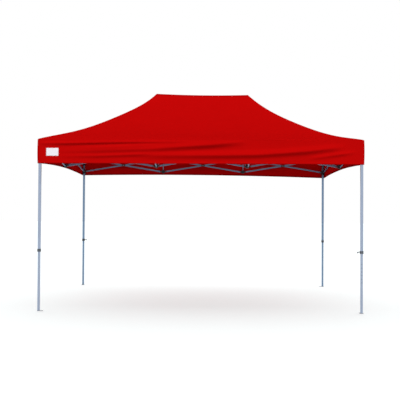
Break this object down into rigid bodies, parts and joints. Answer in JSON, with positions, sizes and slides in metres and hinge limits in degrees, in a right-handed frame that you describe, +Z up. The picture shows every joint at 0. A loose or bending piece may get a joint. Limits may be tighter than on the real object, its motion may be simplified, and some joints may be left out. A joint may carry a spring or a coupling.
{
  "type": "pop up canopy",
  "caption": "Folding shelter: a scissor truss frame on telescoping legs under a hipped red cloth roof with a straight valance.",
  "frame": {"origin": "on the ground under the centre of the cover, which is the bottom centre of the bounding box", "axes": "+Z up, X along the ridge and the long side, the front faces -Y"},
  "size_m": [4.477, 3.002, 3.263],
  "materials": {
    "outer_leg": "anodised square tube, dark moulded bracket and collar",
    "inner_leg": "anodised square tube on a welded foot plate",
    "truss_bar": "anodised rectangular tube",
    "king_post": "anodised square tube in a dark moulded bracket",
    "slider": "moulded glass-filled nylon, fine grain",
    "bracket": "moulded glass-filled nylon, fine grain",
    "canopy_roof": "red woven polyester, coated inside, taut",
    "canopy_valance": "red woven polyester, hemmed"
  },
  "bodies": {
    "bar_back_1a": {"bar_back_1a": "truss_bar"},
    "bar_back_1b": {"bar_back_1b": "truss_bar"},
    "bar_back_2a": {"bar_back_2a": "truss_bar"},
    "bar_back_2b": {"bar_back_2b": "truss_bar"},
    "bar_back_3a": {"bar_back_3a": "truss_bar"},
    "bar_back_3b": {"bar_back_3b": "truss_bar"},
    "bar_front_1a": {"bar_front_1a": "truss_bar"},
    "bar_front_1b": {"bar_front_1b": "truss_bar"},
    "bar_front_2a": {"bar_front_2a": "truss_bar"},
    "bar_front_2b": {"bar_front_2b": "truss_bar"},
    "bar_front_3a": {"bar_front_3a": "truss_bar"},
    "bar_front_3b": {"bar_front_3b": "truss_bar"},
    "bar_left_1a": {"bar_left_1a": "truss_bar"},
    "bar_left_1b": {"bar_left_1b": "truss_bar"},
    "bar_left_2a": {"bar_left_2a": "truss_bar"},
    "bar_left_2b": {"bar_left_2b": "truss_bar"},
    "bar_middle_1a": {"bar_middle_1a": "truss_bar"},
    "bar_middle_1b": {"bar_middle_1b": "truss_bar"},
    "bar_middle_2a": {"bar_middle_2a": "truss_bar"},
    "bar_middle_2b": {"bar_middle_2b": "truss_bar"},
    "bar_middle_3a": {"bar_middle_3a": "truss_bar"},
    "bar_middle_3b": {"bar_middle_3b": "truss_bar"},
    "bar_right_1a": {"bar_right_1a": "truss_bar"},
    "bar_right_1b": {"bar_right_1b": "truss_bar"},
    "bar_right_2a": {"bar_right_2a": "truss_bar"},
    "bar_right_2b": {"bar_right_2b": "truss_bar"},
    "king_guide_left": {"king_guide_left": "bracket", "canopy_roof": "canopy_roof", "canopy_valance": "canopy_valance"},
    "king_guide_right": {"king_guide_right": "bracket"},
    "king_post_left": {"king_post_left": "king_post"},
    "king_post_right": {"king_post_right": "king_post"},
    "lower_bracket_back_midleft": {"lower_bracket_back_midleft": "bracket"},
    "lower_bracket_back_midright": {"lower_bracket_back_midright": "bracket"},
    "lower_bracket_front_midleft": {"lower_bracket_front_midleft": "bracket"},
    "lower_bracket_front_midright": {"lower_bracket_front_midright": "bracket"},
    "lower_bracket_middle_left": {"lower_bracket_middle_left": "bracket"},
    "lower_bracket_middle_right": {"lower_bracket_middle_right": "bracket"},
    "outer_leg_back_left": {"outer_leg_back_left": "outer_leg"},
    "outer_leg_back_right": {"outer_leg_back_right": "outer_leg"},
    "outer_leg_front_left": {"outer_leg_front_left": "outer_leg"},
    "outer_leg_front_right": {"outer_leg_front_right": "outer_leg"},
    "slider_back_left": {"slider_back_left": "slider"},
    "slider_back_right": {"slider_back_right": "slider"},
    "slider_front_left": {"slider_front_left": "slider"},
    "slider_front_right": {"slider_front_right": "slider"},
    "strut_back_midleft": {"strut_back_midleft": "truss_bar"},
    "strut_back_midright": {"strut_back_midright": "truss_bar"},
    "strut_front_midleft": {"strut_front_midleft": "truss_bar"},
    "strut_front_midright": {"strut_front_midright": "truss_bar"},
    "upper_bracket_back_midleft": {"upper_bracket_back_midleft": "bracket"},
    "upper_bracket_back_midright": {"upper_bracket_back_midright": "bracket"},
    "upper_bracket_front_midleft": {"upper_bracket_front_midleft": "bracket"},
    "upper_bracket_front_midright": {"upper_bracket_front_midright": "bracket"},
    "upper_bracket_middle_left": {"upper_bracket_middle_left": "bracket"},
    "upper_bracket_middle_right": {"upper_bracket_middle_right": "bracket"},
    "inner_leg_front_left": {"inner_leg_front_left": "inner_leg"},
    "inner_leg_front_right": {"inner_leg_front_right": "inner_leg"},
    "inner_leg_back_left": {"inner_leg_back_left": "inner_leg"},
    "inner_leg_back_right": {"inner_leg_back_right": "inner_leg"}
  },
  "joints": [
    {"name": "fold", "type": "hinge", "parent": "king_guide_left", "child": "bar_middle_2a", "pos_m": [-0.6925, 0.00725, 2.335], "axis": [0, 1, 0], "range_deg": [0, 77.6]},
    {"name": "bar_middle_1b_pivot", "type": "hinge", "parent": "king_guide_left", "child": "bar_middle_1b", "pos_m": [-0.7825, -0.00725, 2.335], "axis": [0, 1, 0], "range_deg": [-77.6, 0]},
    {"name": "king_post_right_pivot", "type": "hinge", "parent": "bar_middle_2a", "child": "king_post_right", "pos_m": [0.6925, 0.00725, 2.105], "axis": [0, 1, 0], "range_deg": [-77.6, 0]},
    {"name": "lower_bracket_middle_left_pivot", "type": "hinge", "parent": "bar_middle_1b", "child": "lower_bracket_middle_left", "pos_m": [-2.1675, -0.00725, 2.105], "axis": [0, 1, 0], "range_deg": [0, 77.6]},
    {"name": "bar_middle_3b_pivot", "type": "hinge", "parent": "king_post_right", "child": "bar_middle_3b", "pos_m": [0.7825, -0.00725, 2.105], "axis": [0, 1, 0], "range_deg": [-77.6, 0]},
    {"name": "strut_front_midright_pivot", "type": "hinge", "parent": "king_post_right", "child": "strut_front_midright", "pos_m": [0.74475, -0.045, 2.105], "axis": [1, 0, 0], "range_deg": [-77.6, 0]},
    {"name": "strut_back_midright_pivot", "type": "hinge", "parent": "king_post_right", "child": "strut_back_midright", "pos_m": [0.73025, 0.045, 2.105], "axis": [1, 0, 0], "range_deg": [0, 77.6]},
    {"name": "bar_left_1a_pivot", "type": "hinge", "parent": "lower_bracket_middle_left", "child": "bar_left_1a", "pos_m": [-2.20525, -0.045, 2.105], "axis": [1, 0, 0], "range_deg": [-77.6, 0]},
    {"name": "bar_left_2b_pivot", "type": "hinge", "parent": "lower_bracket_middle_left", "child": "bar_left_2b", "pos_m": [-2.21975, 0.045, 2.105], "axis": [1, 0, 0], "range_deg": [0, 77.6]},
    {"name": "upper_bracket_middle_right_pivot", "type": "hinge", "parent": "bar_middle_3b", "child": "upper_bracket_middle_right", "pos_m": [2.1675, -0.00725, 2.335], "axis": [0, 1, 0], "range_deg": [0, 77.6]},
    {"name": "upper_bracket_front_midright_pivot", "type": "hinge", "parent": "strut_front_midright", "child": "upper_bracket_front_midright", "pos_m": [0.74475, -1.43, 2.335], "axis": [1, 0, 0], "range_deg": [0, 77.6]},
    {"name": "upper_bracket_back_midright_pivot", "type": "hinge", "parent": "strut_back_midright", "child": "upper_bracket_back_midright", "pos_m": [0.73025, 1.43, 2.335], "axis": [1, 0, 0], "range_deg": [-77.6, 0]},
    {"name": "outer_leg_front_left_pivot", "type": "hinge", "parent": "bar_left_1a", "child": "outer_leg_front_left", "pos_m": [-2.20525, -1.43, 2.335], "axis": [1, 0, 0], "range_deg": [0, 77.6]},
    {"name": "outer_leg_back_left_pivot", "type": "hinge", "parent": "bar_left_2b", "child": "outer_leg_back_left", "pos_m": [-2.21975, 1.43, 2.335], "axis": [1, 0, 0], "range_deg": [-77.6, 0]},
    {"name": "bar_right_1b_pivot", "type": "hinge", "parent": "upper_bracket_middle_right", "child": "bar_right_1b", "pos_m": [2.20525, -0.045, 2.335], "axis": [1, 0, 0], "range_deg": [0, 77.6]},
    {"name": "bar_right_2a_pivot", "type": "hinge", "parent": "upper_bracket_middle_right", "child": "bar_right_2a", "pos_m": [2.21975, 0.045, 2.335], "axis": [1, 0, 0], "range_deg": [-77.6, 0]},
    {"name": "bar_front_2b_pivot", "type": "hinge", "parent": "upper_bracket_front_midright", "child": "bar_front_2b", "pos_m": [0.6925, -1.48225, 2.335], "axis": [0, 1, 0], "range_deg": [-77.6, 0]},
    {"name": "bar_front_3a_pivot", "type": "hinge", "parent": "upper_bracket_front_midright", "child": "bar_front_3a", "pos_m": [0.7825, -1.46775, 2.335], "axis": [0, 1, 0], "range_deg": [0, 77.6]},
    {"name": "bar_back_2b_pivot", "type": "hinge", "parent": "upper_bracket_back_midright", "child": "bar_back_2b", "pos_m": [0.6925, 1.46775, 2.335], "axis": [0, 1, 0], "range_deg": [-77.6, 0]},
    {"name": "bar_back_3a_pivot", "type": "hinge", "parent": "upper_bracket_back_midright", "child": "bar_back_3a", "pos_m": [0.7825, 1.48225, 2.335], "axis": [0, 1, 0], "range_deg": [0, 77.6]},
    {"name": "bar_front_1a_pivot", "type": "hinge", "parent": "outer_leg_front_left", "child": "bar_front_1a", "pos_m": [-2.1675, -1.46775, 2.335], "axis": [0, 1, 0], "range_deg": [0, 77.6]},
    {"name": "bar_back_1a_pivot", "type": "hinge", "parent": "outer_leg_back_left", "child": "bar_back_1a", "pos_m": [-2.1675, 1.48225, 2.335], "axis": [0, 1, 0], "range_deg": [0, 77.6]},
    {"name": "slider_front_right_pivot", "type": "hinge", "parent": "bar_right_1b", "child": "slider_front_right", "pos_m": [2.20525, -1.43, 2.105], "axis": [1, 0, 0], "range_deg": [-77.6, 0]},
    {"name": "slider_back_right_pivot", "type": "hinge", "parent": "bar_right_2a", "child": "slider_back_right", "pos_m": [2.21975, 1.43, 2.105], "axis": [1, 0, 0], "range_deg": [0, 77.6]},
    {"name": "lower_bracket_front_midleft_pivot", "type": "hinge", "parent": "bar_front_2b", "child": "lower_bracket_front_midleft", "pos_m": [-0.6925, -1.48225, 2.105], "axis": [0, 1, 0], "range_deg": [0, 77.6]},
    {"name": "lower_bracket_back_midleft_pivot", "type": "hinge", "parent": "bar_back_2b", "child": "lower_bracket_back_midleft", "pos_m": [-0.6925, 1.46775, 2.105], "axis": [0, 1, 0], "range_deg": [0, 77.6]},
    {"name": "bar_middle_2b_pivot", "type": "hinge", "parent": "bar_middle_2a", "child": "bar_middle_2b", "pos_m": [0, 0.00725, 2.22], "axis": [0, 1, 0], "range_deg": [-155.2, 0]},
    {"name": "bar_middle_3a_pivot", "type": "hinge", "parent": "bar_middle_3b", "child": "bar_middle_3a", "pos_m": [1.475, 0.00725, 2.22], "axis": [0, 1, 0], "range_deg": [0, 155.2]},
    {"name": "king_post_left_pivot", "type": "hinge", "parent": "bar_middle_2b", "child": "king_post_left", "pos_m": [-0.6925, -0.00725, 2.105], "axis": [0, 1, 0], "range_deg": [0, 77.6]},
    {"name": "king_guide_right_pivot", "type": "hinge", "parent": "bar_middle_2b", "child": "king_guide_right", "pos_m": [0.6925, -0.00725, 2.335], "axis": [0, 1, 0], "range_deg": [0, 77.6]},
    {"name": "lower_bracket_middle_right_pivot", "type": "hinge", "parent": "bar_middle_3a", "child": "lower_bracket_middle_right", "pos_m": [2.1675, 0.00725, 2.105], "axis": [0, 1, 0], "range_deg": [-77.6, 0]},
    {"name": "bar_middle_1a_pivot", "type": "hinge", "parent": "king_post_left", "child": "bar_middle_1a", "pos_m": [-0.7825, 0.00725, 2.105], "axis": [0, 1, 0], "range_deg": [0, 77.6]},
    {"name": "strut_front_midleft_pivot", "type": "hinge", "parent": "king_post_left", "child": "strut_front_midleft", "pos_m": [-0.73025, -0.045, 2.105], "axis": [1, 0, 0], "range_deg": [-77.6, 0]},
    {"name": "strut_back_midleft_pivot", "type": "hinge", "parent": "king_post_left", "child": "strut_back_midleft", "pos_m": [-0.74475, 0.045, 2.105], "axis": [1, 0, 0], "range_deg": [0, 77.6]},
    {"name": "bar_right_1a_pivot", "type": "hinge", "parent": "lower_bracket_middle_right", "child": "bar_right_1a", "pos_m": [2.21975, -0.045, 2.105], "axis": [1, 0, 0], "range_deg": [-77.6, 0]},
    {"name": "bar_right_2b_pivot", "type": "hinge", "parent": "lower_bracket_middle_right", "child": "bar_right_2b", "pos_m": [2.20525, 0.045, 2.105], "axis": [1, 0, 0], "range_deg": [0, 77.6]},
    {"name": "upper_bracket_middle_left_pivot", "type": "hinge", "parent": "bar_middle_1a", "child": "upper_bracket_middle_left", "pos_m": [-2.1675, 0.00725, 2.335], "axis": [0, 1, 0], "range_deg": [-77.6, 0]},
    {"name": "upper_bracket_front_midleft_pivot", "type": "hinge", "parent": "strut_front_midleft", "child": "upper_bracket_front_midleft", "pos_m": [-0.73025, -1.43, 2.335], "axis": [1, 0, 0], "range_deg": [0, 77.6]},
    {"name": "upper_bracket_back_midleft_pivot", "type": "hinge", "parent": "strut_back_midleft", "child": "upper_bracket_back_midleft", "pos_m": [-0.74475, 1.43, 2.335], "axis": [1, 0, 0], "range_deg": [-77.6, 0]},
    {"name": "outer_leg_front_right_pivot", "type": "hinge", "parent": "bar_right_1a", "child": "outer_leg_front_right", "pos_m": [2.21975, -1.43, 2.335], "axis": [1, 0, 0], "range_deg": [0, 77.6]},
    {"name": "outer_leg_back_right_pivot", "type": "hinge", "parent": "bar_right_2b", "child": "outer_leg_back_right", "pos_m": [2.20525, 1.43, 2.335], "axis": [1, 0, 0], "range_deg": [-77.6, 0]},
    {"name": "bar_left_1b_pivot", "type": "hinge", "parent": "upper_bracket_middle_left", "child": "bar_left_1b", "pos_m": [-2.21975, -0.045, 2.335], "axis": [1, 0, 0], "range_deg": [0, 77.6]},
    {"name": "bar_left_2a_pivot", "type": "hinge", "parent": "upper_bracket_middle_left", "child": "bar_left_2a", "pos_m": [-2.20525, 0.045, 2.335], "axis": [1, 0, 0], "range_deg": [-77.6, 0]},
    {"name": "bar_front_1b_pivot", "type": "hinge", "parent": "upper_bracket_front_midleft", "child": "bar_front_1b", "pos_m": [-0.7825, -1.48225, 2.335], "axis": [0, 1, 0], "range_deg": [-77.6, 0]},
    {"name": "bar_front_2a_pivot", "type": "hinge", "parent": "upper_bracket_front_midleft", "child": "bar_front_2a", "pos_m": [-0.6925, -1.46775, 2.335], "axis": [0, 1, 0], "range_deg": [0, 77.6]},
    {"name": "bar_back_1b_pivot", "type": "hinge", "parent": "upper_bracket_back_midleft", "child": "bar_back_1b", "pos_m": [-0.7825, 1.46775, 2.335], "axis": [0, 1, 0], "range_deg": [-77.6, 0]},
    {"name": "bar_back_2a_pivot", "type": "hinge", "parent": "upper_bracket_back_midleft", "child": "bar_back_2a", "pos_m": [-0.6925, 1.48225, 2.335], "axis": [0, 1, 0], "range_deg": [0, 77.6]},
    {"name": "bar_front_3b_pivot", "type": "hinge", "parent": "outer_leg_front_right", "child": "bar_front_3b", "pos_m": [2.1675, -1.48225, 2.335], "axis": [0, 1, 0], "range_deg": [-77.6, 0]},
    {"name": "bar_back_3b_pivot", "type": "hinge", "parent": "outer_leg_back_right", "child": "bar_back_3b", "pos_m": [2.1675, 1.46775, 2.335], "axis": [0, 1, 0], "range_deg": [-77.6, 0]},
    {"name": "slider_front_left_pivot", "type": "hinge", "parent": "bar_left_1b", "child": "slider_front_left", "pos_m": [-2.21975, -1.43, 2.105], "axis": [1, 0, 0], "range_deg": [-77.6, 0]},
    {"name": "slider_back_left_pivot", "type": "hinge", "parent": "bar_left_2a", "child": "slider_back_left", "pos_m": [-2.20525, 1.43, 2.105], "axis": [1, 0, 0], "range_deg": [0, 77.6]},
    {"name": "lower_bracket_front_midright_pivot", "type": "hinge", "parent": "bar_front_2a", "child": "lower_bracket_front_midright", "pos_m": [0.6925, -1.46775, 2.105], "axis": [0, 1, 0], "range_deg": [-77.6, 0]},
    {"name": "lower_bracket_back_midright_pivot", "type": "hinge", "parent": "bar_back_2a", "child": "lower_bracket_back_midright", "pos_m": [0.6925, 1.48225, 2.105], "axis": [0, 1, 0], "range_deg": [-77.6, 0]},
    {"name": "leg_front_left_slide", "type": "slide", "parent": "outer_leg_front_left", "child": "inner_leg_front_left", "axis": [0, 0, 1], "range_m": [0, 0.79]},
    {"name": "leg_front_right_slide", "type": "slide", "parent": "outer_leg_front_right", "child": "inner_leg_front_right", "axis": [0, 0, 1], "range_m": [0, 0.79]},
    {"name": "leg_back_left_slide", "type": "slide", "parent": "outer_leg_back_left", "child": "inner_leg_back_left", "axis": [0, 0, 1], "range_m": [0, 0.79]},
    {"name": "leg_back_right_slide", "type": "slide", "parent": "outer_leg_back_right", "child": "inner_leg_back_right", "axis": [0, 0, 1], "range_m": [0, 0.79]}
  ],
  "couplings": [
    {"joint": "bar_middle_1b_pivot", "follows": "fold", "ratio": -1},
    {"joint": "king_post_right_pivot", "follows": "fold", "ratio": -1},
    {"joint": "lower_bracket_middle_left_pivot", "follows": "fold", "ratio": 1},
    {"joint": "bar_middle_3b_pivot", "follows": "fold", "ratio": -1},
    {"joint": "strut_front_midright_pivot", "follows": "fold", "ratio": -1},
    {"joint": "strut_back_midright_pivot", "follows": "fold", "ratio": 1},
    {"joint": "bar_left_1a_pivot", "follows": "fold", "ratio": -1},
    {"joint": "bar_left_2b_pivot", "follows": "fold", "ratio": 1},
    {"joint": "upper_bracket_middle_right_pivot", "follows": "fold", "ratio": 1},
    {"joint": "upper_bracket_front_midright_pivot", "follows": "fold", "ratio": 1},
    {"joint": "upper_bracket_back_midright_pivot", "follows": "fold", "ratio": -1},
    {"joint": "outer_leg_front_left_pivot", "follows": "fold", "ratio": 1},
    {"joint": "outer_leg_back_left_pivot", "follows": "fold", "ratio": -1},
    {"joint": "bar_right_1b_pivot", "follows": "fold", "ratio": 1},
    {"joint": "bar_right_2a_pivot", "follows": "fold", "ratio": -1},
    {"joint": "bar_front_2b_pivot", "follows": "fold", "ratio": -1},
    {"joint": "bar_front_3a_pivot", "follows": "fold", "ratio": 1},
    {"joint": "bar_back_2b_pivot", "follows": "fold", "ratio": -1},
    {"joint": "bar_back_3a_pivot", "follows": "fold", "ratio": 1},
    {"joint": "bar_front_1a_pivot", "follows": "fold", "ratio": 1},
    {"joint": "bar_back_1a_pivot", "follows": "fold", "ratio": 1},
    {"joint": "slider_front_right_pivot", "follows": "fold", "ratio": -1},
    {"joint": "slider_back_right_pivot", "follows": "fold", "ratio": 1},
    {"joint": "lower_bracket_front_midleft_pivot", "follows": "fold", "ratio": 1},
    {"joint": "lower_bracket_back_midleft_pivot", "follows": "fold", "ratio": 1},
    {"joint": "bar_middle_2b_pivot", "follows": "fold", "ratio": -2},
    {"joint": "bar_middle_3a_pivot", "follows": "fold", "ratio": 2},
    {"joint": "king_post_left_pivot", "follows": "fold", "ratio": 1},
    {"joint": "king_guide_right_pivot", "follows": "fold", "ratio": 1},
    {"joint": "lower_bracket_middle_right_pivot", "follows": "fold", "ratio": -1},
    {"joint": "bar_middle_1a_pivot", "follows": "fold", "ratio": 1},
    {"joint": "strut_front_midleft_pivot", "follows": "fold", "ratio": -1},
    {"joint": "strut_back_midleft_pivot", "follows": "fold", "ratio": 1},
    {"joint": "bar_right_1a_pivot", "follows": "fold", "ratio": -1},
    {"joint": "bar_right_2b_pivot", "follows": "fold", "ratio": 1},
    {"joint": "upper_bracket_middle_left_pivot", "follows": "fold", "ratio": -1},
    {"joint": "upper_bracket_front_midleft_pivot", "follows": "fold", "ratio": 1},
    {"joint": "upper_bracket_back_midleft_pivot", "follows": "fold", "ratio": -1},
    {"joint": "outer_leg_front_right_pivot", "follows": "fold", "ratio": 1},
    {"joint": "outer_leg_back_right_pivot", "follows": "fold", "ratio": -1},
    {"joint": "bar_left_1b_pivot", "follows": "fold", "ratio": 1},
    {"joint": "bar_left_2a_pivot", "follows": "fold", "ratio": -1},
    {"joint": "bar_front_1b_pivot", "follows": "fold", "ratio": -1},
    {"joint": "bar_front_2a_pivot", "follows": "fold", "ratio": 1},
    {"joint": "bar_back_1b_pivot", "follows": "fold", "ratio": -1},
    {"joint": "bar_back_2a_pivot", "follows": "fold", "ratio": 1},
    {"joint": "bar_front_3b_pivot", "follows": "fold", "ratio": -1},
    {"joint": "bar_back_3b_pivot", "follows": "fold", "ratio": -1},
    {"joint": "slider_front_left_pivot", "follows": "fold", "ratio": -1},
    {"joint": "slider_back_left_pivot", "follows": "fold", "ratio": 1},
    {"joint": "lower_bracket_front_midright_pivot", "follows": "fold", "ratio": -1},
    {"joint": "lower_bracket_back_midright_pivot", "follows": "fold", "ratio": -1}
  ]
}
